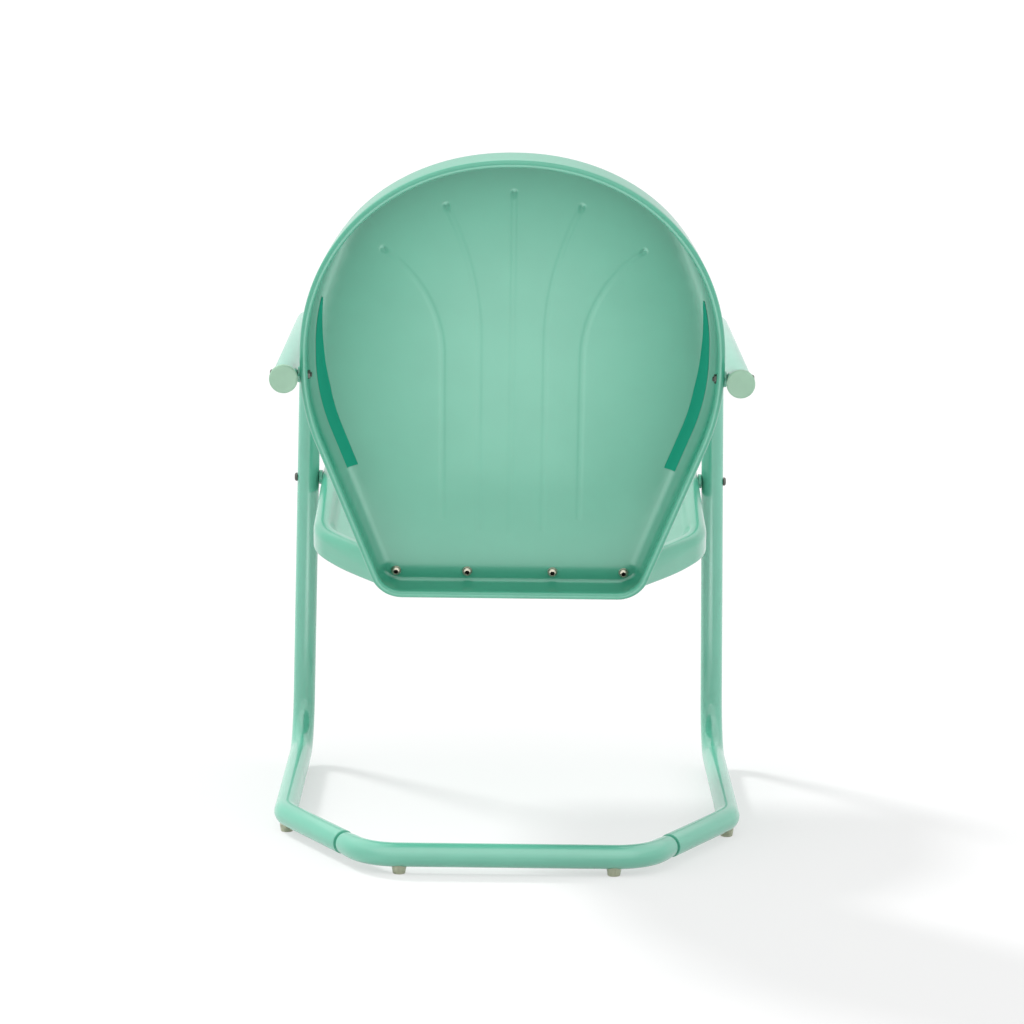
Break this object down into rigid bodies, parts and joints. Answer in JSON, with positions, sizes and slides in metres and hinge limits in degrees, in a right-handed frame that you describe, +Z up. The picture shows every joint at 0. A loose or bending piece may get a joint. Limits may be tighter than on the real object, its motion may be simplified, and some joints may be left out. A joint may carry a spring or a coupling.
{
  "type": "spring lawn chair",
  "caption": "Cantilever metal lawn chair with a pressed shell back, a pressed seat pan and a bent tube frame that flexes at its front bends.",
  "frame": {"origin": "on the floor, under the middle of the chair's box", "axes": "+Z up, -Y the way the sitter faces, +X to the sitter's left"},
  "size_m": [0.572, 0.7104, 0.8482],
  "materials": {
    "frame_paint": "satin gloss paint on steel tube",
    "sheet_paint": "satin gloss paint on pressed sheet steel",
    "strip_paint": "satin paint, darker tone",
    "cap_plastic": "matte moulded plastic",
    "foot_plastic": "translucent moulded plastic",
    "bright_steel": "zinc plated",
    "dark_steel": "dark zinc plated"
  },
  "bodies": {
    "base": {"base_connector": "frame_paint", "left_runner_tube": "frame_paint", "right_runner_tube": "frame_paint", "left_spring_bend": "frame_paint", "right_spring_bend": "frame_paint", "left_front_foot": "foot_plastic", "right_front_foot": "foot_plastic", "left_corner_foot": "foot_plastic", "right_corner_foot": "foot_plastic", "left_rear_foot": "foot_plastic", "right_rear_foot": "foot_plastic", "left_front_foot_screw": "bright_steel", "right_front_foot_screw": "bright_steel", "left_corner_foot_screw": "bright_steel", "right_corner_foot_screw": "bright_steel", "left_rear_foot_screw": "bright_steel", "right_rear_foot_screw": "bright_steel"},
    "seat_unit": {"left_arm_leg_tube": "frame_paint", "right_arm_leg_tube": "frame_paint", "left_arm_cap": "cap_plastic", "right_arm_cap": "cap_plastic", "back_shell": "sheet_paint", "left_side_strip": "strip_paint", "right_side_strip": "strip_paint", "seat_pan": "sheet_paint", "back_1_screw": "bright_steel", "back_1_washer": "bright_steel", "back_1_nut": "bright_steel", "back_2_screw": "bright_steel", "back_2_washer": "bright_steel", "back_2_nut": "bright_steel", "back_3_screw": "bright_steel", "back_3_washer": "bright_steel", "back_3_nut": "bright_steel", "back_4_screw": "bright_steel", "back_4_washer": "bright_steel", "back_4_nut": "bright_steel", "left_arm_screw": "dark_steel", "left_arm_washer": "dark_steel", "left_arm_nut": "dark_steel", "left_arm_spacer": "frame_paint", "right_arm_screw": "dark_steel", "right_arm_washer": "dark_steel", "right_arm_nut": "dark_steel", "right_arm_spacer": "frame_paint", "left_leg_screw": "dark_steel", "left_leg_washer": "dark_steel", "left_leg_nut": "dark_steel", "left_leg_spacer": "frame_paint", "right_leg_screw": "dark_steel", "right_leg_washer": "dark_steel", "right_leg_nut": "dark_steel", "right_leg_spacer": "frame_paint"}
  },
  "joints": [
    {"name": "bounce", "type": "hinge", "parent": "base", "child": "seat_unit", "pos_m": [0, -0.2584, 0.041], "axis": [-1, 0, 0], "range_deg": [-1.5, 4], "stiffness_Nm_per_rad": 5000, "springref_deg": -0.17, "deforming": ["left_spring_bend", "right_spring_bend"]}
  ]
}
